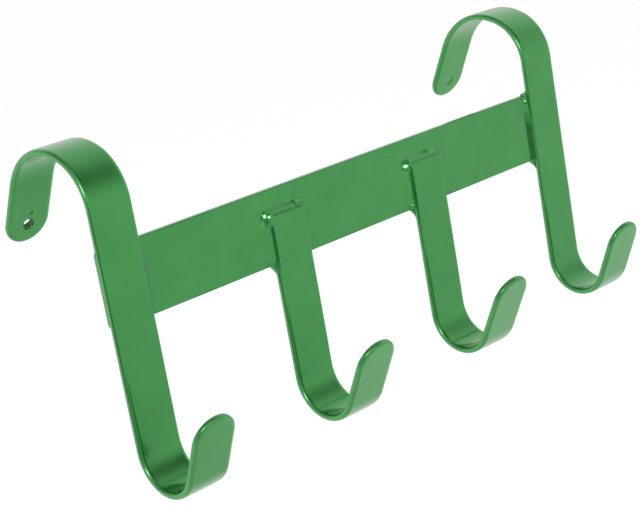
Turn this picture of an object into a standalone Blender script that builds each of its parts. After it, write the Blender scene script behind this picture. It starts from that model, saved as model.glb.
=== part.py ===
# Tack hanger: a welded rack of painted flat steel bar that hangs over the top edge of a stable door.
#
# Metres, +Z up, +Y towards the door. The origin is the centre of the crossbar's back face, which lies against the door.
# Each strap and hook is a flat blank with its ends cut round, its hole punched, and then bent on edge-on bend lines.
# So each one is modelled as the middle surface of its strip, extruded along its straights and spun round its bends,
# then thickened, punched and eased along its edges. The weld beads run in the corners between strip and crossbar.

import math

import bmesh
import bpy
from mathutils import Vector

# ---------------------------------------------------------------- driving dimensions

STRIP_WIDTH = 0.0258  # straps and hooks: 1 inch bar and its paint
STRIP_THICKNESS = 0.0036
EDGE_EASE = 0.0011  # how far the rolled edges are rounded

BAR_HEIGHT = 0.041
BAR_THICKNESS = 0.0036
BAR_INSET = 0.0017  # each bar end stops this short of the strap's outer edge

HOOK_PITCH = 0.109  # from one hook to the next, centre to centre
CONTACT_GAP = 0.0003  # between a strip's back and the bar's front

ARCH_START = 0.0205  # above the bar's top edge
ARCH_BENDS = ((0.0275, 60.0), (0.0365, 90.0))  # centreline radius, angle turned
LEG_LENGTH = 0.039  # from the end of the arch to the leg's tip

HOOK_START = 0.105  # below the bar's top edge, on all four hooks
STRAP_HOOK_BEND = (0.0196, 153.5)
STRAP_LIP = 0.036  # from the end of the bend to the lip's tip
J_HOOK_BEND = (0.0200, 150.0)
J_LIP = 0.039
J_TOP = 0.0130  # the J-hooks' square tops, below the bar's top edge

HOLE_DIAMETER = 0.0065
HOLE_FROM_TIP = 0.0115

# weld legs: along the bar, and along the strip's edge
LEFT_BEAD = (0.0020, 0.0028)
RIGHT_BEAD = (0.0026, 0.0028)
STRAP_RIGHT_BEAD = (0.0038, 0.0030)
TOP_BEAD = (0.0024, 0.0028)
END_BEAD = (0.0020, 0.0024)
BEAD_TAIL = 0.0050  # how far a left weld runs on past the bar's edge
BEAD_RIPPLE = 0.0030  # from one ripple of the weld pool to the next

BEND_STEP = 6.0  # degrees of bend per facet
TIP_STEPS = 18

GREEN = (0.066, 0.278, 0.088, 1.0)
WELD_GREEN = (0.060, 0.255, 0.082, 1.0)

# ---------------------------------------------------------------- where things are

BAR_TOP = BAR_HEIGHT / 2
BAR_FRONT = -BAR_THICKNESS
STRIP_BACK = BAR_FRONT - CONTACT_GAP
STRIP_MID = STRIP_BACK - STRIP_THICKNESS / 2
STRIP_FRONT = STRIP_BACK - STRIP_THICKNESS
HALF = STRIP_WIDTH / 2
STRIP_X = [(i - 1.5) * HOOK_PITCH for i in range(4)]
BAR_END = STRIP_X[3] + HALF - BAR_INSET
X_AXIS = Vector((1.0, 0.0, 0.0))

# ---------------------------------------------------------------- scene

for old in list(bpy.data.objects):
    bpy.data.objects.remove(old, do_unlink=True)

hanger = bpy.data.collections.new("tack_hanger")
cutters = bpy.data.collections.new("cutters")
for collection in (hanger, cutters):
    bpy.context.scene.collection.children.link(collection)


def painted(name, colour, roughness):
    material = bpy.data.materials.new(name)
    material.use_nodes = True
    shader = material.node_tree.nodes["Principled BSDF"]
    shader.inputs["Base Color"].default_value = colour
    shader.inputs["Roughness"].default_value = roughness
    shader.inputs["Metallic"].default_value = 0.0
    material.diffuse_color = colour
    return material


def place(name, bm, material, where=None):
    mesh = bpy.data.meshes.new(name)
    bmesh.ops.recalc_face_normals(bm, faces=bm.faces)
    bm.to_mesh(mesh)
    bm.free()
    obj = bpy.data.objects.new(name, mesh)
    if material:
        mesh.materials.append(material)
    (where or hanger).objects.link(obj)
    return obj


def ease_edges(obj, width, segments=2, angle=40.0):
    bevel = obj.modifiers.new("eased_edges", "BEVEL")
    bevel.width = width
    bevel.segments = segments
    bevel.limit_method = "ANGLE"
    bevel.angle_limit = math.radians(angle)
    bevel.harden_normals = False


def shade(obj):
    obj.data.shade_smooth()
    obj.data.set_sharp_from_angle(angle=math.radians(35.0))


# ---------------------------------------------------------------- bending a strip


def quarter_turn(heading):
    """The heading turned a quarter towards the inside of the bend, in the (Y, Z) plane."""
    return (heading[1], -heading[0])


class Strip:
    """The middle surface of a strip as it is bent: an edge across the strip that is extruded and spun."""

    def __init__(self, x, z):
        self.bm = bmesh.new()
        a = self.bm.verts.new((x - HALF, STRIP_MID, z))
        b = self.bm.verts.new((x + HALF, STRIP_MID, z))
        self.start = self.bm.edges.new((a, b))

    def centre(self, edge):
        return (edge.verts[0].co + edge.verts[1].co) / 2

    def straight(self, edge, heading, length):
        made = bmesh.ops.extrude_edge_only(self.bm, edges=[edge])["geom"]
        step = Vector((0.0, heading[0], heading[1])) * length
        bmesh.ops.translate(
            self.bm, verts=[g for g in made if isinstance(g, bmesh.types.BMVert)], vec=step
        )
        return next(
            g
            for g in made
            if isinstance(g, bmesh.types.BMEdge)
            and abs(g.verts[0].co.x - g.verts[1].co.x) > HALF
        )

    def bend(self, edge, heading, radius, degrees):
        inward = quarter_turn(heading)
        at = self.centre(edge)
        centre = (0.0, at.y + inward[0] * radius, at.z + inward[1] * radius)
        last = bmesh.ops.spin(
            self.bm,
            geom=[edge, edge.verts[0], edge.verts[1]],
            cent=centre,
            axis=X_AXIS,
            angle=-math.radians(degrees),
            steps=round(degrees / BEND_STEP),
        )["geom_last"]
        turned = math.atan2(heading[1], heading[0]) - math.radians(degrees)
        edge = next(g for g in last if isinstance(g, bmesh.types.BMEdge))
        return edge, (math.cos(turned), math.sin(turned))

    def round_tip(self, edge, heading, length):
        """The last straight, its end cut to a half circle, as one flat face."""
        edge = self.straight(edge, heading, length - HALF)
        left, right = sorted(edge.verts, key=lambda v: v.co.x)
        forward = Vector((0.0, heading[0], heading[1]))
        centre = self.centre(edge)
        bmesh.ops.spin(
            self.bm,
            geom=[left],
            cent=centre,
            axis=(-X_AXIS).cross(forward),
            angle=math.pi,
            steps=TIP_STEPS,
        )

        def on_arc(v):
            return abs((v.co - centre).length - HALF) < 1e-6

        bmesh.ops.remove_doubles(self.bm, verts=[v for v in self.bm.verts if on_arc(v)], dist=1e-6)
        rim = [e for e in self.bm.edges if on_arc(e.verts[0]) and on_arc(e.verts[1])]
        edge = next(e for e in rim if abs(e.verts[0].co.x - e.verts[1].co.x) > 1.9 * HALF)
        bmesh.ops.contextual_create(self.bm, geom=rim)
        bmesh.ops.dissolve_edges(self.bm, edges=[edge], use_verts=False)

    def finish(self, name, material):
        obj = place(name, self.bm, material)
        solid = obj.modifiers.new("thickness", "SOLIDIFY")
        solid.thickness = STRIP_THICKNESS
        solid.offset = 0.0
        solid.use_even_offset = True
        return obj


UP = (0.0, 1.0)
DOWN = (0.0, -1.0)


def add_lower_hook(strip, top_edge, top_z, bend, lip):
    edge = strip.straight(top_edge, DOWN, top_z - (BAR_TOP - HOOK_START))
    edge, heading = strip.bend(edge, DOWN, *bend)
    strip.round_tip(edge, heading, lip)


def leg_frame():
    """Where the arch ends on the strip's middle surface, and which way the leg runs from there."""
    y, z, angle = STRIP_MID, BAR_TOP + ARCH_START, math.pi / 2
    for radius, degrees in ARCH_BENDS:
        cy = y + math.sin(angle) * radius
        cz = z - math.cos(angle) * radius
        turned = angle - math.radians(degrees)
        y = cy - math.sin(turned) * radius
        z = cz + math.cos(turned) * radius
        angle = turned
    return Vector((0.0, y, z)), Vector((0.0, math.cos(angle), math.sin(angle)))


def hole_cutter(name, x):
    """A round punch along the leg's normal, near its tip."""
    at, along = leg_frame()
    centre = at + along * (LEG_LENGTH - HOLE_FROM_TIP) + X_AXIS * x
    bm = bmesh.new()
    bmesh.ops.create_cone(
        bm,
        cap_ends=True,
        segments=28,
        radius1=HOLE_DIAMETER / 2,
        radius2=HOLE_DIAMETER / 2,
        depth=STRIP_THICKNESS * 4,
    )
    cutter = place(name, bm, None, cutters)
    normal = X_AXIS.cross(along)
    cutter.rotation_euler = normal.to_track_quat("Z", "X").to_euler()
    cutter.location = centre
    cutter.hide_render = True
    cutter.display_type = "WIRE"
    return cutter


def make_strap(name, x, material):
    strip = Strip(x, BAR_TOP + ARCH_START)
    add_lower_hook(strip, strip.start, BAR_TOP + ARCH_START, STRAP_HOOK_BEND, STRAP_LIP)
    edge, heading = strip.start, UP
    for radius, degrees in ARCH_BENDS:
        edge, heading = strip.bend(edge, heading, radius, degrees)
    strip.round_tip(edge, heading, LEG_LENGTH)
    obj = strip.finish(name, material)
    punched = obj.modifiers.new("leg_hole", "BOOLEAN")
    punched.operation = "DIFFERENCE"
    punched.solver = "EXACT"
    punched.object = hole_cutter(name + "_hole", x)
    ease_edges(obj, EDGE_EASE)
    shade(obj)
    return obj


def make_j_hook(name, x, material):
    strip = Strip(x, BAR_TOP - J_TOP)
    add_lower_hook(strip, strip.start, BAR_TOP - J_TOP, J_HOOK_BEND, J_LIP)
    obj = strip.finish(name, material)
    ease_edges(obj, EDGE_EASE)
    shade(obj)
    return obj


def make_crossbar(material):
    bm = bmesh.new()
    bmesh.ops.create_cube(bm, size=1.0)
    bmesh.ops.scale(bm, verts=bm.verts, vec=(2 * BAR_END, BAR_THICKNESS, BAR_HEIGHT))
    bmesh.ops.translate(bm, verts=bm.verts, vec=(0.0, -BAR_THICKNESS / 2, 0.0))
    obj = place("crossbar", bm, material)
    ease_edges(obj, EDGE_EASE)
    shade(obj)
    return obj


# ---------------------------------------------------------------- weld beads


def bead_section(legs, size):
    """A fillet's outline at a share of its size, from the root of the corner out along one leg and back along the
    other. Its face is a little hollow, as a painted fillet's is."""
    hollow = 0.35
    points = [(0.0, 0.0)]
    for i in range(5):
        a = i / 4 * math.pi / 2
        u = hollow * (1 - math.sin(a)) + (1 - hollow) * (1 - i / 4)
        v = hollow * (1 - math.cos(a)) + (1 - hollow) * i / 4
        points.append((u, v))
    return [
        (CONTACT_GAP + u * (legs[0] - CONTACT_GAP) * size, CONTACT_GAP + v * (legs[1] - CONTACT_GAP) * size)
        for u, v in points
    ]


def weld_bead(name, root, along, out, up, length, legs, material, taper=(0.0025, 0.0025)):
    """A fillet that runs from root for length, in the corner between the directions out and up. It swells at each
    ripple of the weld pool and runs out to a thin toe at its ends. The sections differ, so it is lofted."""
    steps = max(8, round(length / (BEAD_RIPPLE / 2)))
    bm = bmesh.new()
    rings = []
    for i in range(steps + 1):
        s = length * i / steps
        swell = 1.0 + (0.05 if i % 2 else -0.05)
        toe = min(1.0, s / taper[0], (length - s) / taper[1])
        size = swell * max(0.28, math.sqrt(max(0.0, toe)))
        rings.append([bm.verts.new(root + along * s + out * u + up * v) for u, v in bead_section(legs, size)])
    for one, two in zip(rings, rings[1:]):
        for k in range(len(one)):
            n = (k + 1) % len(one)
            bm.faces.new((one[k], one[n], two[n], two[k]))
    bm.faces.new(rings[0])
    bm.faces.new(rings[-1])
    obj = place(name, bm, material)
    shade(obj)
    return obj


# ---------------------------------------------------------------- the pieces

green = painted("green_paint", GREEN, 0.32)
weld_green = painted("green_paint_over_weld", WELD_GREEN, 0.36)

make_crossbar(green)
make_strap("left_strap", STRIP_X[0], green)
make_j_hook("left_hook", STRIP_X[1], green)
make_j_hook("right_hook", STRIP_X[2], green)
make_strap("right_strap", STRIP_X[3], green)

LEFT, RIGHT = -X_AXIS, X_AXIS
FRONT = Vector((0.0, -1.0, 0.0))
BACK = Vector((0.0, 1.0, 0.0))
UPWARD = Vector((0.0, 0.0, 1.0))


def side_bead(name, x, side, low, high, legs, taper=(0.0025, 0.0025)):
    root = Vector((x, BAR_FRONT, low)) + side * HALF
    weld_bead(name, root, UPWARD, side, FRONT, high - low, legs, weld_green, taper)


def end_bead(name, x, side):
    """In the corner between the bar's end and the back of the strap that overhangs it."""
    root = Vector((x, STRIP_BACK, -BAR_HEIGHT / 2 + 0.002)) + side * (HALF - BAR_INSET)
    weld_bead(name, root, UPWARD, side, BACK, BAR_HEIGHT - 0.004, END_BEAD, weld_green)


bar_low, bar_high = -BAR_HEIGHT / 2, BAR_HEIGHT / 2
j_high = BAR_TOP - J_TOP

end_bead("left_strap_outer_weld", STRIP_X[0], LEFT)
side_bead("left_strap_inner_weld", STRIP_X[0], RIGHT, bar_low + 0.001, bar_high - 0.001, STRAP_RIGHT_BEAD)
for name, x in (("left_hook", STRIP_X[1]), ("right_hook", STRIP_X[2])):
    side_bead(name + "_left_weld", x, LEFT, bar_low - BEAD_TAIL, j_high - 0.0005, LEFT_BEAD, (0.0055, 0.0025))
    side_bead(name + "_right_weld", x, RIGHT, bar_low + 0.001, j_high - 0.0005, RIGHT_BEAD)
    root = Vector((x - HALF + 0.001, BAR_FRONT, j_high))
    weld_bead(name + "_top_weld", root, RIGHT, UPWARD, FRONT, STRIP_WIDTH - 0.002, TOP_BEAD, weld_green)
side_bead(
    "right_strap_inner_weld",
    STRIP_X[3],
    LEFT,
    bar_low - BEAD_TAIL,
    bar_high + BEAD_TAIL,
    LEFT_BEAD,
    (0.0055, 0.0055),
)
end_bead("right_strap_outer_weld", STRIP_X[3], RIGHT)
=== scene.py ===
# Tack hanger: a welded rack of painted flat steel bar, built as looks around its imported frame.
#
# Metres, +Z up, +Y towards the door, origin at the centre of the crossbar's back face. Every strip is modelled as its
# flat blank with rounded edges and round tips, then bent along its path. The weld beads are grown from overlapping
# pools of weld metal and remeshed to one skin, so they run into the strips and the crossbar as painted weld does.

import math
import random
import bmesh
import bpy
from mathutils import Matrix, Vector, noise


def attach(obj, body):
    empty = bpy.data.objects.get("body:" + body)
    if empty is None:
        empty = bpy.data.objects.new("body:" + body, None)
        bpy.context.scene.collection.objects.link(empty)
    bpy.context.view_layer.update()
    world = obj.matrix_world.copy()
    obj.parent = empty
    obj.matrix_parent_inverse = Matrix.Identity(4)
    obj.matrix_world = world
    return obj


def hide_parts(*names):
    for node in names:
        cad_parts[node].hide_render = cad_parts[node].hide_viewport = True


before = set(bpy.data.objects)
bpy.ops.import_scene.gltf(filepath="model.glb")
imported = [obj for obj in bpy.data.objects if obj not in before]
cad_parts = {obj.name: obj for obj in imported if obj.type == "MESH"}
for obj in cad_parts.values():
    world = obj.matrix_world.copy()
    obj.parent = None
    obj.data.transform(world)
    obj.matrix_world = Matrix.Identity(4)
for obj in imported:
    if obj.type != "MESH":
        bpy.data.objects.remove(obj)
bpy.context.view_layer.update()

MM = 0.001

# ---------------------------------------------------------------- dimensions, in millimetres

STRIP_WIDTH = 25.8
STRIP_THICKNESS = 3.6
BAR_HEIGHT = 41.0
BAR_THICKNESS = 3.6
HOOK_PITCH = 109.0
BAR_END = 174.7
CONTACT_GAP = 0.3
HALF = STRIP_WIDTH / 2
BAR_TOP = BAR_HEIGHT / 2
BAR_FRONT = -BAR_THICKNESS
STRIP_MID = BAR_FRONT - CONTACT_GAP - STRIP_THICKNESS / 2
STRIP_FRONT = STRIP_MID - STRIP_THICKNESS / 2
STRIP_X = [(i - 1.5) * HOOK_PITCH for i in range(4)]
BEND_LEVEL = -84.5  # where the straps and hooks start to bend
ARCH_LEVEL = 41.0  # where the arches start
J_TOP = 7.5  # the J-hooks' square tops

HOLE_RADIUS = 3.25
HOLE_FROM_TIP = 11.5

# ---------------------------------------------------------------- the path of a strip's middle surface, in (Y, Z)


class Path:
    """Straights and arcs, from where it starts and its heading in degrees. A positive turn is to the left."""

    def __init__(self, start, heading):
        self.parts = []
        self.at, self.heading, self.length = start, math.radians(heading), 0.0

    def straight(self, length):
        self.parts.append((self.length, length, self.at, self.heading, 0.0))
        self.at = (self.at[0] + length * math.cos(self.heading), self.at[1] + length * math.sin(self.heading))
        self.length += length
        return self

    def arc(self, radius, degrees):
        turn = math.radians(degrees)
        length = radius * abs(turn)
        curvature = math.copysign(1 / radius, turn)
        self.parts.append((self.length, length, self.at, self.heading, curvature))
        self.at, self.heading = self.point(self.length + length)
        self.length += length
        return self

    def point(self, s):
        """The point and the heading at s."""
        for begin, length, at, heading, curvature in self.parts:
            if s <= begin + length + 1e-9 or (begin, length) == self.parts[-1][:2]:
                d = s - begin
                if curvature == 0.0:
                    return (at[0] + d * math.cos(heading), at[1] + d * math.sin(heading)), heading
                new = heading + d * curvature
                return (
                    at[0] + (math.sin(new) - math.sin(heading)) / curvature,
                    at[1] - (math.cos(new) - math.cos(heading)) / curvature,
                ), new

    def curvature(self, s):
        for begin, length, _, _, curvature in self.parts:
            if s <= begin + length + 1e-9:
                return curvature
        return 0.0

    def stations(self, low, high, straight_step, bend_step):
        """Where the strip is cut across: evenly in each straight and each bend, between low and high."""
        cuts = []
        for begin, length, _, _, curvature in self.parts:
            a, b = max(low, begin), min(high, begin + length)
            if b - a < 1e-6:
                continue
            step = straight_step if curvature == 0.0 else math.radians(bend_step) / abs(curvature)
            count = max(1, math.ceil((b - a) / step))
            cuts += [a + (b - a) * i / count for i in range(count)]
        return cuts + [high]


def strap_path():
    tip = (-58.877, -61.028)
    path = Path(tip, -63.5).straight(36.0).arc(19.6, 153.5)
    dy, dz = STRIP_MID - path.at[0], BEND_LEVEL - path.at[1]
    path = Path((tip[0] + dy, tip[1] + dz), -63.5).straight(36.0).arc(19.6, 153.5)
    path.straight(ARCH_LEVEL - BEND_LEVEL).arc(27.5, -60.0).arc(36.5, -90.0).straight(39.0)
    return path


def j_path():
    tip = (-62.5, -60.7)
    path = Path(tip, -60.0).straight(39.0).arc(20.0, 150.0)
    dy, dz = STRIP_MID - path.at[0], BEND_LEVEL - path.at[1]
    path = Path((tip[0] + dy, tip[1] + dz), -60.0).straight(39.0).arc(20.0, 150.0)
    path.straight(J_TOP - BEND_LEVEL)
    return path


def flat_path(length, y, z):
    return Path((y, z), 90.0).straight(length)


# ---------------------------------------------------------------- a blank with rounded edges


def edge_profile(thickness, wide, deep, steps, inset):
    """(distance in from the outline, height above the middle), round the blank's edge from its back to its front.
    Each corner is a quarter of an ellipse, wide along the face and deep along the edge."""
    half = thickness / 2
    points = [(wide + inset, -half), (wide, -half)]
    for i in range(1, steps + 1):
        a = i / steps * math.pi / 2
        points.append((wide * (1 - math.sin(a)), -half + deep * (1 - math.cos(a))))
    points.append((0.0, 0.0))
    for i in range(steps + 1):
        a = (1 - i / steps) * math.pi / 2
        points.append((wide * (1 - math.sin(a)), half - deep * (1 - math.cos(a))))
    points.append((wide + inset, half))
    clean = [points[0]]
    for p in points[1:]:
        if math.dist(p, clean[-1]) > 1e-6:
            clean.append(p)
    return clean


def arc_points(cs, cw, radius, start, end, steps, past=(0, 0)):
    """Points of an arc in the blank's plane, both ends left out, as (s, w, inward s, inward w, room, past). Further in
    than its room a point goes on in the direction past, down the corner's diagonal."""
    points = []
    for i in range(1, steps):
        a = math.radians(start + (end - start) * i / steps)
        points.append((cs + radius * math.cos(a), cw + radius * math.sin(a), -math.cos(a), -math.sin(a), radius, past))
    return points


def inset_point(point, inward):
    s, w, ns, nw, room, past = point
    d, more = min(inward, room), max(0.0, inward - room)
    return s + ns * d + past[0] * more, w + nw * d + past[1] * more


class Blank:
    """A flat strip of metal, in the coordinates s along it, w across it and t through it."""

    def __init__(
        self, path, x, width, thickness, edge, start, end, hole=None, wobble=0.0, seed=0, columns=10, melts=()
    ):
        self.path, self.x, self.seed, self.wobble = path, x, seed, wobble
        self.half, self.thickness = width / 2, thickness
        self.bm = bmesh.new()
        self.profile = edge_profile(thickness, *edge, 8, 0.5)
        self.columns = columns
        self.melts = melts
        self.build(start, end, hole)

    def vertex(self, s, w, t):
        return self.bm.verts.new(self.locate(s, w, t))

    def locate(self, s, w, t):
        """Where a point of the blank is once it's bent, in world coordinates."""
        (y, z), heading = self.path.point(s)
        ny, nz = -math.sin(heading), math.cos(heading)
        curvature = self.path.curvature(s)
        if curvature:
            # a bent strip's edges lift a little towards the inside of the bend
            t += math.copysign(0.10, curvature) * (abs(w) / self.half) ** 3 * self.bend_share(s)
        for low, high, side, wide, deep in self.melts:
            # the arc took the front corner off along a weld
            share = min(1.0, max(0.0, (s - low) / 4.0)) * min(1.0, max(0.0, (high - s) / 4.0))
            d = self.half - side * w
            if share and d < wide and t > 0:
                t -= deep * share * (1 - d / wide) * t / (self.thickness / 2)
        if self.wobble:
            p = Vector((s / 34.0, w / 20.0, self.seed * 7.3))
            t += self.wobble * noise.noise(p)
            w += self.wobble * 0.8 * noise.noise(Vector((s / 26.0, 3.7, self.seed * 3.1 + (5.0 if w > 0 else 0.0))))
        return (self.x + w) * MM, (y + ny * t) * MM, (z + nz * t) * MM

    def bend_share(self, s):
        """How far into a bend s is, from 0 at its ends to 1 from 6 mm in."""
        for begin, length, _, _, curvature in self.path.parts:
            if s <= begin + length + 1e-9:
                d = max(0.0, min(s - begin, begin + length - s) / 6.0)
                return min(1.0, d) if curvature else 0.0
        return 0.0

    def end_outline(self, s, style, sign):
        """The outline round an end, from the left side to the right, and the room it takes along the strip."""
        half = self.half
        if style == "round":
            # from w = -half over the tip to w = +half
            return arc_points(s - sign * half, 0.0, half, -90 if sign > 0 else 270, 90, 56), half
        corner = float(style)
        room = max(corner, self.profile[0][0] + 0.25)
        first, last = (-90, 0) if sign > 0 else (270, 180)
        near, far = (-sign, 1), (-sign, -1)
        left = arc_points(s - sign * corner, -half + corner, corner, first, last, 8, near)
        left.insert(0, (s - sign * corner, -half, 0, 1, corner, near))
        left.append((s, -half + corner, -sign, 0, corner, near))
        right = arc_points(s - sign * corner, half - corner, corner, last, 90, 8, far)
        right.insert(0, (s, half - corner, -sign, 0, corner, far))
        right.append((s - sign * corner, half, 0, -1, corner, far))
        return left + right, room

    def build(self, start, end, hole):
        path, half = self.path, self.half
        base, base_room = self.end_outline(0.0, start, -1)
        tip, tip_room = self.end_outline(path.length, end, 1)
        low, high = base_room, path.length - tip_room
        self.cuts = path.stations(low, high, 7.0, 3.0)
        if hole:  # the cut across that ends the plain strip, clear of the hole
            self.cuts = [c for c in self.cuts if c < hole[0] - hole[1] - 3.2] + [hole[0] - hole[1] - 3.0]
            extra = [c for c in (hole[0] - 3.0, hole[0] + 1.0) if self.cuts[-1] + 0.5 < c < high - 0.3] + [high]
        else:
            extra = []
        left = [(s, -half, 0, 1, half, (0, 0)) for s in self.cuts]
        right = [(s, half, 0, -1, half, (0, 0)) for s in self.cuts]
        left_more = [(s, -half, 0, 1, half, (0, 0)) for s in extra]
        right_more = [(s, half, 0, -1, half, (0, 0)) for s in extra]
        around = left + left_more + tip + right_more[::-1] + right[::-1] + base[::-1]
        rings = [[self.vertex(*inset_point(point, inward), t) for point in around] for inward, t in self.profile]
        n = len(around)
        for one, two in zip(rings, rings[1:]):
            for k in range(n):
                self.bm.faces.new((one[k], one[(k + 1) % n], two[(k + 1) % n], two[k]))
        inward, _ = self.profile[0]
        count = len(self.cuts)
        tip_range = range(count, count + len(left_more) + len(tip) + len(right_more))
        base_range = range(n - len(base), n)
        walls = self.hole_wall(hole) if hole else None
        for ring, t, is_front in ((rings[0], self.profile[0][1], False), (rings[-1], self.profile[-1][1], True)):
            rows = []
            for j, s in enumerate(self.cuts):
                l, r = ring[j], ring[count + len(tip_range) + count - 1 - j]
                lw, rw = -half + inward, half - inward
                middle = [self.vertex(s, lw + (rw - lw) * c / self.columns, t) for c in range(1, self.columns)]
                rows.append([l] + middle + [r])
            for one, two in zip(rows, rows[1:]):
                for c in range(self.columns):
                    self.bm.faces.new((one[c], one[c + 1], two[c + 1], two[c]))
            self.bm.faces.new([ring[k] for k in base_range] + rows[0])
            tips = [ring[k] for k in tip_range]
            if not walls:
                self.bm.faces.new(tips + rows[-1][::-1])
                continue
            # the punched end: two faces that meet on the middle line, above and below the hole
            circle = walls[-1] if is_front else walls[0]
            m = len(circle)
            middle_tip = min(range(len(tips)), key=lambda k: abs(tips[k].co.x - self.x * MM))
            centre_column = self.columns // 2
            row = rows[-1]
            self.bm.faces.new(
                tips[: middle_tip + 1] + [circle[k] for k in range(0, m // 2 + 1)] + row[: centre_column + 1][::-1]
            )
            self.bm.faces.new(
                [tips[k] for k in range(middle_tip, len(tips))]
                + row[centre_column:][::-1]
                + [circle[k] for k in range(m // 2, m)]
                + [circle[0]]
            )

    def hole_wall(self, hole):
        """Rings through the thickness round the hole, its rims rounded by paint, from the back to the front."""
        s0, radius = hole
        rim, half, steps, around = 0.55, self.thickness / 2, 5, 48
        profile = [(radius + rim + 0.35, -half), (radius + rim, -half)]
        for i in range(1, steps + 1):
            a = i / steps * math.pi / 2
            profile.append((radius + rim * (1 - math.sin(a)), -half + rim * (1 - math.cos(a))))
        profile += [(rho, -t) for rho, t in profile[::-1]]
        rings = []
        for rho, t in profile:
            # it starts at the side nearest the tip, and goes over the left side
            rings.append(
                [
                    self.vertex(
                        s0 + rho * math.cos(math.tau * k / around), -rho * math.sin(math.tau * k / around), t
                    )
                    for k in range(around)
                ]
            )
        for one, two in zip(rings, rings[1:]):
            for k in range(around):
                self.bm.faces.new((one[k], one[(k + 1) % around], two[(k + 1) % around], two[k]))
        return rings

    def plug(self, hole, recess):
        """Paint that has dried across a hole, hollow and a little under both faces."""
        s0, radius = hole
        top = self.thickness / 2 - recess
        profile = [(0.45, top - 0.22), (0.75, top - 0.15), (0.93, top - 0.04), (1.05, top)]
        profile += [(share, -t) for share, t in profile[::-1]]
        rings = []
        for share, t in profile:
            turns = [math.tau * k / 32 for k in range(32)]
            rings.append([self.vertex(s0 + radius * share * math.cos(a), radius * share * math.sin(a), t) for a in turns])
        for one, two in zip(rings, rings[1:]):
            for k in range(32):
                self.bm.faces.new((one[k], one[(k + 1) % 32], two[(k + 1) % 32], two[k]))
        self.bm.faces.new(rings[0])
        self.bm.faces.new(rings[-1][::-1])

    def finish(self, name, material):
        bmesh.ops.remove_doubles(self.bm, verts=self.bm.verts, dist=1e-7)
        bmesh.ops.recalc_face_normals(self.bm, faces=self.bm.faces)
        return place(name, self.bm, material)


def place(name, bm, material):
    mesh = bpy.data.meshes.new(name)
    bm.to_mesh(mesh)
    bm.free()
    mesh.materials.append(material)
    mesh.shade_smooth()
    obj = bpy.data.objects.new(name, mesh)
    bpy.context.scene.collection.objects.link(obj)
    return obj


# ---------------------------------------------------------------- materials


class Graph:
    def __init__(self, tree):
        self.tree = tree
        tree.nodes.clear()

    def node(self, kind, **values):
        n = self.tree.nodes.new("ShaderNode" + kind)
        for key, value in values.items():
            if hasattr(n, key):
                setattr(n, key, value)
            else:
                socket = n.inputs[key.replace("_", " ")]
                if isinstance(value, bpy.types.NodeSocket):
                    self.tree.links.new(value, socket)
                else:
                    socket.default_value = value
        return n

    def link(self, a, b):
        self.tree.links.new(a, b)

    def noise(self, coords, scale, detail=2.0, rough=0.5):
        n = self.node("TexNoise", Scale=scale, Detail=detail, Roughness=rough)
        self.link(coords, n.inputs["Vector"])
        return n.outputs["Fac"]

    def spread(self, value, low, high, out_low, out_high):
        n = self.node("MapRange", clamp=True)
        n.inputs["From Min"].default_value, n.inputs["From Max"].default_value = low, high
        n.inputs["To Min"].default_value, n.inputs["To Max"].default_value = out_low, out_high
        self.link(value, n.inputs["Value"])
        return n.outputs["Result"]

    def math(self, operation, a, b):
        n = self.node("Math", operation=operation)
        for socket, v in zip(n.inputs, (a, b)):
            if isinstance(v, bpy.types.NodeSocket):
                self.link(v, socket)
            else:
                socket.default_value = v
        return n.outputs[0]


def paint(name, colour, roughness, peel=1.0):
    """Green enamel with depth: a tinted, part metallic base under a glossy clear skin. It has orange peel, slow waves
    in the film, and small changes of depth and gloss."""
    material = bpy.data.materials.new(name)
    material.use_nodes = True
    g = Graph(material.node_tree)
    shader = g.node("BsdfPrincipled")
    out = g.node("OutputMaterial")
    g.link(shader.outputs[0], out.inputs["Surface"])
    where = g.node("TexCoord").outputs["Object"]
    cloud = g.noise(where, 38.0, 3.0, 0.55)
    fine = g.noise(where, 900.0, 2.0, 0.6)
    ramp = g.node("ValToRGB")
    g.link(g.math("ADD", g.math("MULTIPLY", cloud, 0.8), g.math("MULTIPLY", fine, 0.2)), ramp.inputs["Fac"])
    ramp.color_ramp.elements[0].position = 0.32
    ramp.color_ramp.elements[1].position = 0.68
    ramp.color_ramp.elements[0].color = (colour[0] * 0.90, colour[1] * 0.94, colour[2] * 0.91, 1)
    ramp.color_ramp.elements[1].color = (colour[0] * 1.10, colour[1] * 1.06, colour[2] * 1.09, 1)
    g.link(ramp.outputs["Color"], shader.inputs["Base Color"])
    shader.inputs["Metallic"].default_value = METALLIC
    g.link(g.spread(g.noise(where, 70.0, 3.0, 0.6), 0.35, 0.65, roughness - 0.03, roughness + 0.04), shader.inputs["Roughness"])
    shader.inputs["IOR"].default_value = 1.5
    shader.inputs["Specular IOR Level"].default_value = 0.0  # the clear skin does the reflecting
    shader.inputs["Coat Weight"].default_value = 1.0
    shader.inputs["Coat Roughness"].default_value = 0.09
    shader.inputs["Coat IOR"].default_value = 1.5
    waves = g.node("Bump", Strength=0.34 * peel, Distance=0.00020)
    g.link(g.noise(where, 85.0, 1.5, 0.5), waves.inputs["Height"])
    skin = g.node("Bump", Strength=0.10 * peel, Distance=0.00006)
    g.link(g.noise(where, 700.0, 2.0, 0.55), skin.inputs["Height"])
    g.link(waves.outputs["Normal"], skin.inputs["Normal"])
    g.link(skin.outputs["Normal"], shader.inputs["Normal"])
    g.link(skin.outputs["Normal"], shader.inputs["Coat Normal"])
    return material


METALLIC = 0.75
GREEN = (0.060, 0.395, 0.087)
WELD_GREEN = (0.058, 0.385, 0.085)
green = paint("green_enamel", GREEN, 0.22)
weld_green = paint("green_enamel_over_weld", WELD_GREEN, 0.20, 1.1)


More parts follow.
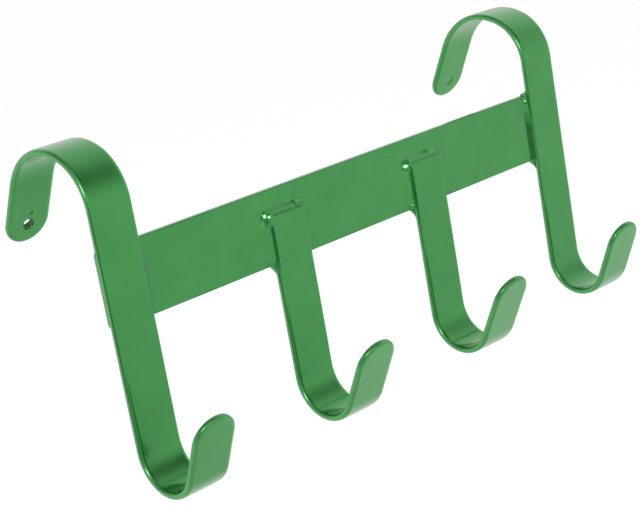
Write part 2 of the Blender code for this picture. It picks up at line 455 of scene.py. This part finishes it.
def painted_hole_shade():
    """Dull, dark green that stands in for the shade inside the hole: painted shade, not a colour the paint has."""
    material = bpy.data.materials.new("painted_hole_shade")
    material.use_nodes = True
    g = Graph(material.node_tree)
    shader = g.node("BsdfPrincipled")
    g.link(shader.outputs[0], g.node("OutputMaterial").inputs["Surface"])
    where = g.node("TexCoord").outputs["Object"]
    ramp = g.node("ValToRGB")
    g.link(g.noise(where, 600.0, 3.0, 0.6), ramp.inputs["Fac"])
    ramp.color_ramp.elements[0].position = 0.35
    ramp.color_ramp.elements[1].position = 0.65
    # these dark greens are painted shade for the inside of the hole
    ramp.color_ramp.elements[0].color = (0.022, 0.085, 0.030, 1)
    ramp.color_ramp.elements[1].color = (0.085, 0.310, 0.095, 1)
    g.link(ramp.outputs["Color"], shader.inputs["Base Color"])
    g.link(g.spread(g.noise(where, 900.0, 2.0, 0.5), 0.35, 0.65, 0.28, 0.5), shader.inputs["Roughness"])
    bump = g.node("Bump", Strength=0.5, Distance=0.0001)
    g.link(g.noise(where, 900.0, 3.0, 0.6), bump.inputs["Height"])
    g.link(bump.outputs["Normal"], shader.inputs["Normal"])
    return material


# painted shade: a dark green for the inside of the strap's hole
hole_shade_paint = painted_hole_shade()

# ---------------------------------------------------------------- strips

EDGE = (2.2, 1.3)  # how far the rolled and painted edges round off, along the face and along the edge
BAR_EDGE = (1.0, 0.9)
strap = strap_path()
hole_at = strap.length - HOLE_FROM_TIP


def make_strap(name, x, seed, filled=False):
    hole = (hole_at, HOLE_RADIUS)
    blank = Blank(strap, x, STRIP_WIDTH, STRIP_THICKNESS, EDGE, "round", "round", hole, 0.05, seed)
    if filled:
        blank.plug(hole, 0.3)
    else:
        hole_lining(blank, name + "_hole_lining", hole)
    return stand_in(blank.finish(name + "_bar", green), name)


def hole_lining(blank, name, hole):
    """Thick paint in a punched hole, uneven round its inside and coloured dark as painted shade for the hole's inside,
    and a darker spot of the same colour on the face above.
    """
    s0, radius = hole
    bm = bmesh.new()
    around = 48
    profile = [(-0.05, -1.25), (-0.45, -1.05), (-0.75, -0.5), (-0.8, 0.1), (-0.7, 0.7), (-0.3, 1.15)]
    profile += [(0.2, 1.2), (0.2, -1.25)]
    rings = []
    for out, t in profile:
        ring = []
        for k in range(around):
            a = math.tau * k / around
            # it ran to the bottom of the hole and is thickest there
            thick = 0.85 + 1.9 * max(0.0, math.cos(a - 0.35)) if out < 0 else 1.0
            uneven = 0.5 * noise.noise(Vector((2.2 * math.cos(a), 2.2 * math.sin(a), 4.0 + 0.5 * t))) if out < 0 else 0.0
            rho = radius + out * thick - abs(uneven)
            ring.append(bm.verts.new(blank.locate(s0 + rho * math.cos(a), rho * math.sin(a), t)))
        rings.append(ring)
    for one, two in zip(rings, rings[1:] + rings[:1]):
        for k in range(around):
            bm.faces.new((one[k], one[(k + 1) % around], two[(k + 1) % around], two[k]))
    face = -blank.thickness / 2
    # a low spot in the same darker colour on the face above the hole
    spot = bmesh.ops.create_icosphere(bm, subdivisions=3, radius=1.0)["verts"]
    for v in spot:
        uneven = 1.0 + 0.4 * noise.noise(v.co * 1.7)
        v.co = blank.locate(s0 - 6.7 + 1.0 * uneven * v.co.x, 1.05 + 1.3 * uneven * v.co.y, face + 0.02 + 0.14 * v.co.z)
    bmesh.ops.recalc_face_normals(bm, faces=bm.faces)
    # the lining carries the painted shade of the hole's inside
    obj = place(name, bm, hole_shade_paint)
    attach(obj, "root")
    return obj


def make_j(name, x, seed, melt):
    path = j_path()
    melts = ((path.length - 32.0, path.length + 10.0, -1, *melt),)
    blank = Blank(path, x, STRIP_WIDTH, STRIP_THICKNESS, EDGE, "round", 1.2, None, 0.05, seed, melts=melts)
    return stand_in(blank.finish(name + "_bar", green), name)


def make_crossbar():
    # its path runs along X, so it is built upright and laid over
    blank = Blank(
        flat_path(2 * BAR_END, 0.0, 0.0), 0.0, BAR_HEIGHT, BAR_THICKNESS, BAR_EDGE, 3.2, 3.2, None, 0.05, 9, columns=14
    )
    obj = blank.finish("crossbar_bar", green)
    turn = Matrix(((0, 0, 1, -BAR_END * MM), (0, 1, 0, -BAR_THICKNESS / 2 * MM), (-1, 0, 0, 0), (0, 0, 0, 1)))
    obj.data.transform(turn)
    return stand_in(obj, "crossbar")


def stand_in(obj, node):
    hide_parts(node)
    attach(obj, "root")
    return obj


LEFT_MELT, RIGHT_MELT = (2.3, 2.3), (1.3, 1.2)
make_crossbar()
make_strap("left_strap", STRIP_X[0], 1)
make_j("left_hook", STRIP_X[1], 2, LEFT_MELT)
make_j("right_hook", STRIP_X[2], 3, RIGHT_MELT)
make_strap("right_strap", STRIP_X[3], 4, filled=True)

# ---------------------------------------------------------------- welds


class Weld:
    """Weld metal under its paint. Convex lumps of metal and thin layers just under the painted faces around them are
    grown to one skin and smoothed, so the skin comes out of the strip and the bar with a soft toe. Lumps are given in
    millimetres as (x, v, z), where v is the height above the crossbar's front face."""

    def __init__(self, x, seed):
        self.bm = bmesh.new()
        self.x = x
        self.random = random.Random(seed)

    def lump(self, points):
        made = [self.bm.verts.new((self.x + x, BAR_FRONT - v, z)) for x, v, z in points]
        out = bmesh.ops.convex_hull(self.bm, input=made)
        inside = out["geom_interior"] + out["geom_unused"]
        spare = list(dict.fromkeys(g for g in inside if isinstance(g, bmesh.types.BMVert)))
        if spare:
            bmesh.ops.delete(self.bm, geom=spare, context="VERTS")

    def loft(self, sections):
        """Each section is a convex outline in world order; neighbours are joined by their hull."""
        for one, two in zip(sections, sections[1:]):
            self.lump(list(one) + list(two))

    def ball(self, x, v, z, rx, rv=None, rz=None):
        made = bmesh.ops.create_icosphere(self.bm, subdivisions=3, radius=1.0)["verts"]
        bmesh.ops.scale(self.bm, verts=made, vec=(rx, rv or rx, rz or rx))
        bmesh.ops.translate(self.bm, verts=made, vec=(self.x + x, BAR_FRONT - v, z))

    def facet(self, x, v, z, wide, tall, depth, towards):
        """A drop with a flattened top that faces towards a direction."""
        turn = Vector(towards).to_track_quat("Z", "Y").to_matrix()
        points = []
        for share, down in ((0.62, 0.0), (0.9, 0.3), (1.0, 1.0)):
            for k in range(20):
                a = math.tau * k / 20
                p = turn @ Vector((wide * share * math.cos(a), tall * share * math.sin(a), -depth * down))
                points.append((x + p.x, v - p.y, z + p.z))
        self.lump(points)

    def finish(self, name, nodes, voxel=0.26, rounds=14):
        mesh = bpy.data.meshes.new(name + "_grown")
        self.bm.to_mesh(mesh)
        self.bm.free()
        grown = bpy.data.objects.new(name + "_grown", mesh)
        bpy.context.scene.collection.objects.link(grown)
        skin = grown.modifiers.new("skin", "REMESH")
        skin.mode = "VOXEL"
        skin.voxel_size = voxel
        soft = grown.modifiers.new("soft", "SMOOTH")
        soft.factor, soft.iterations = 0.5, rounds
        done = bpy.data.meshes.new_from_object(grown.evaluated_get(bpy.context.evaluated_depsgraph_get()))
        bpy.data.objects.remove(grown)
        bpy.data.meshes.remove(mesh)
        done.transform(Matrix.Scale(MM, 4))
        done.name = name
        done.materials.clear()
        done.materials.append(weld_green)
        done.shade_smooth()
        obj = bpy.data.objects.new(name, done)
        bpy.context.scene.collection.objects.link(obj)
        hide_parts(*nodes)
        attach(obj, "root")
        return obj


def upright(side, outline, z):
    """A section across a weld that runs up a strip's side: (distance out from the side, v) at the height z."""
    return [(side * (HALF + u), v, z) for u, v in outline]


def strip_side(weld, side, low, high, melt):
    """The layer under the strip's front face and its rounded or melted corner, along one side."""
    wide, deep = melt
    corner = [(-0.2, 1.7), (-0.2, 3.7 - max(deep, 1.4)), (-0.8, 3.75 - deep * 0.75 if deep else 3.3)]
    outline = corner + [(-max(wide, 2.2) - 0.1, 3.8), (-6.0, 3.8), (-6.0, 2.4), (-1.8, 0.8)]
    weld.loft([upright(side, outline, low), upright(side, outline, high)])


def bar_face(weld, x0, x1, z0, z1):
    """The layer under the crossbar's front face."""
    weld.lump([(x, v, z) for x in (x0, x1) for v in (-0.08, -1.4) for z in (z0, z1)])


def j_weld(name, x, seed, melt, left, run_down, drops, facets):
    """The weld round a J-hook's top: up its left side, over its top edge and down its right side."""
    w = Weld(x, seed)
    bottom = -BAR_TOP
    bar_face(w, -HALF - 10, -HALF + 1, bottom + 0.1, J_TOP + 8)
    bar_face(w, -HALF, HALF, J_TOP - 1, J_TOP + 8)
    bar_face(w, HALF - 1, HALF + 7, bottom + 0.1, J_TOP + 8)
    strip_side(w, -1, bottom - 9, J_TOP - 0.9, melt)
    strip_side(w, 1, bottom - 5, J_TOP - 0.9, (0, 0))
    top = [(-0.2, -0.5), (-0.2, 2.2), (-0.9, 3.3), (-2.4, 3.8), (-6.0, 3.8), (-6.0, 2.4), (-1.6, -0.5)]
    w.loft([[(x_, v, J_TOP + u) for u, v in top] for x_ in (-HALF + 0.9, HALF - 0.9)])
    # the left side
    toe, ledge, rise = left
    outline = [(-0.8, -0.6), (toe, -0.6), (toe, -0.05), (0.45 * toe, ledge), (0.2, rise), (-0.8, rise + 0.5)]
    sections = []
    for i in range(17):
        z = bottom + 0.6 + i * 1.6
        full = min(1.0, 0.45 + 0.55 * (z - bottom) / 4.0, 0.35 + 0.65 * (bottom + 26.4 - z) / 5.0) * w.random.uniform(0.96, 1.04)
        sections.append(upright(-1, [(u * full if u > 0 else u, v * full if 0 < v < rise else v) for u, v in outline], z))
    w.loft(sections)
    # it runs down off the bar's lower edge and out along the strip
    w.loft(
        [
            upright(-1, [(-0.8, -2.6), (2.6, -2.6), (1.9, -0.6), (0.4, rise), (-0.8, rise + 0.4)], bottom + 0.8),
            upright(-1, [(-0.8, -2.0), (1.0, -1.6), (0.9, 0.2), (0.2, rise), (-0.8, rise + 0.3)], bottom - 1.0),
            upright(-1, [(-0.8, -0.4), (0.2, 0.0), (0.15, rise * 0.6), (-0.8, rise)], bottom - 3.0),
            upright(-1, [(-2.0, 0.9), (-0.8, 1.0), (-0.7, rise * 0.7), (-2.0, rise * 0.8)], bottom - 6.5),
        ]
    )
    # a smooth ramp over the top edge, from the strip's face down to the bar
    ramp = (
        [(-2.5, 3.35), (-2.3, 3.86), (-1.5, 3.94), (0.1, 3.2), (0.1, -0.6), (-1.5, -0.6)],
        [(-0.5, 3.3), (0.1, 3.2), (1.8, 1.6), (1.8, -0.6), (-0.5, -0.6)],
        [(0.2, 2.3), (1.7, 1.7), (3.8, -0.04), (3.8, -0.6), (0.2, -0.6)],
    )
    for outline in ramp:
        sections = []
        for i in range(13):
            x_ = -HALF - 0.2 + i / 12 * (2 * HALF + 0.8)
            hollow = 1.0 - 0.14 * math.exp(-(((x_ - 8.0) / 3.0) ** 2)) - 0.03 * w.random.random()
            hollow *= 1.0 - 0.5 * max(0.0, (i - 10) / 2)
            # steep, but for where more metal ran down on the right
            reach = hollow * (0.62 + 0.34 * math.exp(-(((x_ - run_down) / 3.6) ** 2)))
            sections.append([(x_, v * (hollow if 0 < v < 3.25 else 1.0), J_TOP + (u * reach if u > 0 else u)) for u, v in outline])
        w.loft(sections)
    # it laps round the top right corner
    w.ball(HALF - 0.6, -1.3, J_TOP - 1.8, 4.2, 2.8, 3.9)
    # the right side, a low smooth fillet
    outline = [(-0.8, -0.6), (2.7, -0.6), (2.7, -0.05), (1.1, 0.8), (0.1, 2.1), (-0.8, 2.3)]
    w.loft([upright(1, outline, z) for z in (bottom + 0.8, -8.0, 2.0, J_TOP - 0.5)])
    # the blob where the weld was started, at the top left corner, and drops along the bead
    for ball in drops:
        w.ball(*ball)
    for facet in facets:
        w.facet(*facet)
    nodes = [name + "_left_weld", name + "_right_weld", name + "_top_weld"]
    return w.finish(name + "_weld", nodes)


j_weld(
    "left_hook",
    STRIP_X[1],
    11,
    LEFT_MELT,
    (5.6, 0.85, 1.8),
    9.4,
    ((-HALF + 2.2, 1.0, J_TOP - 3.4, 3.9, 2.8, 4.0),),
    (
        (-14.3, 1.65, 7.65, 1.9, 2.4, 1.9, (-0.662, -0.673, 0.328)),
        (-12.9, 3.7, 7.0, 1.9, 1.9, 2.2, (-0.662, -0.673, 0.328)),
    ),
)
j_weld(
    "right_hook",
    STRIP_X[2],
    12,
    RIGHT_MELT,
    (5.0, 0.7, 1.4),
    6.5,
    ((-HALF + 1.6, 0.3, J_TOP - 3.8, 3.2, 2.7, 3.2),),
    (
        (-14.7, 1.35, 5.6, 2.5, 2.3, 1.8, (-0.712, -0.630, 0.309)),
        (-14.2, 1.8, -17.4, 1.2, 1.7, 1.5, (-0.650, -0.690, 0.320)),
    ),
)


def strap_left_weld():
    """Up the right strap's left side, past both edges of the bar."""
    w = Weld(STRIP_X[3], 13)
    bar_face(w, -HALF - 10, -HALF + 1, -BAR_TOP + 0.1, BAR_TOP - 0.1)
    strip_side(w, -1, -BAR_TOP - 9, BAR_TOP + 7, (0, 0))
    sections = []
    for i in range(25):
        z = -BAR_TOP + 0.5 + i * (2 * BAR_TOP - 1.0) / 24
        full = 1.0 - min(1.0, max(0.0, (z - 1.0) / 10.0))
        k = w.random.uniform(0.96, 1.04)
        k *= min(1.0, 0.5 + 0.5 * (BAR_TOP - z) / 3.5)
        low = 1.0 - 0.4 * min(1.0, max(0.0, (z - 10.0) / 8.0))
        toe, ledge, rise = (3.6 - 0.45 * full) * k, (0.7 + 0.42 * full) * k * low, (2.2 + 0.75 * full) * low
        middle = 1.1 + 0.38 * full
        sections.append(
            upright(-1, [(-0.8, -0.6), (toe, -0.6), (toe, -0.05), (middle, ledge), (0.1, rise), (-0.8, rise + 0.35)], z)
        )
    w.loft(sections)
    for sign, reach, size, crown in ((-1, 7.0, 1.0, 1.4), (1, 3.8, 0.72, 0.5)):
        edge = sign * BAR_TOP
        w.loft(
            [
                upright(-1, [(-0.8, -2.6), (3.8 * size, -2.6), (3.2 * size, -0.6), (0.5, crown), (-0.8, crown + 0.6)], edge - sign * 0.8),
                upright(-1, [(-0.8, -2.2), (1.7 * size, -2.0), (1.4 * size, 0.1), (0.3, crown), (-0.8, crown + 0.6)], edge + sign * 1.0),
                upright(-1, [(-0.8, -0.4), (0.4 * size, 0.0), (0.3 * size, crown * 0.8), (-0.8, 1.6)], edge + sign * reach * 0.5),
                upright(-1, [(-2.0, 0.9), (-0.8, 1.0), (-0.7, 1.2), (-2.0, 1.6)], edge + sign * reach),
            ]
        )
    w.facet(-14.2, 1.5, 17.2, 0.9, 1.7, 1.2, (-0.75, -0.60, 0.29))
    return w.finish("right_strap_inner_weld_bead", ["right_strap_inner_weld"])


def strap_right_weld():
    """Down the left strap's right side, inside the bar's edges."""
    w = Weld(STRIP_X[0], 14)
    bar_face(w, HALF - 1, HALF + 10, -BAR_TOP + 0.1, BAR_TOP - 0.1)
    strip_side(w, 1, -BAR_TOP - 3, BAR_TOP + 3, (0, 0))
    sections = []
    for i in range(25):
        z = -BAR_TOP + 0.6 + i * (2 * BAR_TOP - 1.2) / 24
        full = 0.72 + 0.28 * min(1.0, max(0.0, (z + 7.0) / 5.0)) * min(1.0, max(0.0, (19.0 - z) / 5.0))
        toe = 3.7 * full * w.random.uniform(0.97, 1.03)
        sections.append(
            upright(1, [(-0.8, -0.6), (toe, -0.6), (toe, -0.04), (0.55 * toe, 0.6), (0.1, 2.2), (-0.8, 2.4)], z)
        )
    w.loft(sections)
    return w.finish("left_strap_inner_weld_bead", ["left_strap_inner_weld"])


def end_weld(name, x, side, seed):
    """In the corner between the bar's end and the back of the strap that overhangs it."""
    w = Weld(x, seed)
    end = side * (BAR_END - abs(STRIP_X[0]))
    outline = [(-1.2, 0.6), (1.2, 0.5), (1.2, 0.1), (0.3, -0.7), (0.1, -1.2), (-1.2, -1.2)]
    sections = []
    for i in range(25):
        z = -BAR_TOP + 4.4 + i * (2 * BAR_TOP - 8.8) / 24
        k = w.random.uniform(0.93, 1.07)
        sections.append([(end + side * u * (k if u > 0 else 1.0), v, z) for u, v in outline])
    w.loft(sections)
    return w.finish(name + "_bead", [name])


strap_left_weld()
strap_right_weld()
end_weld("left_strap_outer_weld", STRIP_X[0], -1, 15)
end_weld("right_strap_outer_weld", STRIP_X[3], 1, 16)

# ---------------------------------------------------------------- camera

ELEVATION, ROLL, AZIMUTH = math.radians(13.84), math.radians(-9.71), math.radians(42.32)
forward = Vector(
    (math.sin(AZIMUTH) * math.cos(ELEVATION), math.cos(AZIMUTH) * math.cos(ELEVATION), -math.sin(ELEVATION))
)
right = Vector((math.cos(AZIMUTH), -math.sin(AZIMUTH), 0.0))
up = right.cross(forward)
c, s = math.cos(ROLL), math.sin(ROLL)
right, up = c * right + s * up, -s * right + c * up
camera = bpy.data.cameras.new("camera")
camera.sensor_width = 36.0
camera.sensor_fit = "HORIZONTAL"
camera.lens = 1689.2 / 640 * 36.0
camera.shift_x = (320 - 362.02) / 640
camera.shift_y = (224.13 - 253) / 640
camera.clip_start = 0.05
eye = bpy.data.objects.new("camera", camera)
eye.matrix_world = Matrix(
    (
        (right.x, up.x, -forward.x, -0.61615),
        (right.y, up.y, -forward.y, -0.68077),
        (right.z, up.z, -forward.z, 0.20849),
        (0, 0, 0, 1),
    )
)
bpy.context.scene.collection.objects.link(eye)
bpy.context.scene.camera = eye

# ---------------------------------------------------------------- floor and light

scene = bpy.context.scene
scene.view_settings.view_transform = "Standard"
scene.view_settings.look = "None"

# (azimuth from the front towards the right, elevation, tightness, brightness) of each soft light and dark flag
ROOM = 0.93
SOFT_LIGHTS = (
    (-50, -14, 4, -0.62),
    (-48, -14, 20, -0.24),
    (34, 58, 10, -0.50),
    (26, 38, 10, -0.57),
    (98, -8, 16, -0.42),
    (132, -8, 16, -0.35),
    (-136, 63, 4, -0.37),
    (40, -31, 4, -0.27),
    (162, -76, 10, -0.18),
    (-2, 17, 10, 0.19),
    (77, -72, 10, -0.27),
    (85, -46, 10, 0.15),
    (139, 66, 10, -0.19),
    (-124, 49, 4, -0.34),
    (133, -18, 10, -0.15),
)


def studio_world():
    world = bpy.data.worlds.new("studio")
    scene.world = world
    world.use_nodes = True
    g = Graph(world.node_tree)
    towards = g.node("TexCoord").outputs["Generated"]
    total = None
    for azimuth, elevation, tightness, brightness in SOFT_LIGHTS:
        a, e = math.radians(azimuth), math.radians(elevation)
        dot = g.node("VectorMath", operation="DOT_PRODUCT")
        g.link(towards, dot.inputs[0])
        dot.inputs[1].default_value = (math.sin(a) * math.cos(e), -math.cos(a) * math.cos(e), math.sin(e))
        lobe = g.node("Math", operation="EXPONENT")
        scaled = g.node("Math", operation="MULTIPLY_ADD")
        g.link(dot.outputs["Value"], scaled.inputs[0])
        scaled.inputs[1].default_value, scaled.inputs[2].default_value = tightness, -tightness
        g.link(scaled.outputs[0], lobe.inputs[0])
        sized = g.math("MULTIPLY", lobe.outputs[0], brightness)
        total = g.math("ADD", sized, ROOM if total is None else total)
    lit = g.node("Background", Color=(1, 1, 1, 1))
    g.link(g.math("MAXIMUM", total, 0.02), lit.inputs["Strength"])
    plain = g.node("Background", Color=(1, 1, 1, 1), Strength=1.0)
    mix = g.node("MixShader")
    g.link(g.node("LightPath").outputs["Is Camera Ray"], mix.inputs[0])
    g.link(lit.outputs[0], mix.inputs[1])
    g.link(plain.outputs[0], mix.inputs[2])
    g.link(mix.outputs[0], g.node("OutputWorld").inputs["Surface"])


studio_world()

key = bpy.data.lights.new("key", "AREA")
key.shape = "DISK"
key.size = 0.50
key.energy = 5.5
lamp = bpy.data.objects.new("key", key)
aim = Vector((-0.70, -0.55, 0.40)).normalized()
lamp.location = aim * 1.6
lamp.rotation_euler = aim.to_track_quat("Z", "Y").to_euler()
scene.collection.objects.link(lamp)

bm = bmesh.new()
bmesh.ops.create_grid(bm, x_segments=2, y_segments=2, size=8.0)
bmesh.ops.translate(bm, verts=bm.verts, vec=(0, 0, -0.32))
floor_material = bpy.data.materials.new("pale_floor")
floor_material.use_nodes = True
g = Graph(floor_material.node_tree)
shader = g.node("BsdfPrincipled", Base_Color=(0.95, 0.95, 0.95, 1), Roughness=0.9)
shader.inputs["Emission Color"].default_value = (1, 1, 1, 1)
shader.inputs["Emission Strength"].default_value = 0.5
g.link(shader.outputs[0], g.node("OutputMaterial").inputs["Surface"])
floor = place("floor", bm, floor_material)
floor.visible_diffuse = floor.visible_glossy = floor.visible_shadow = False
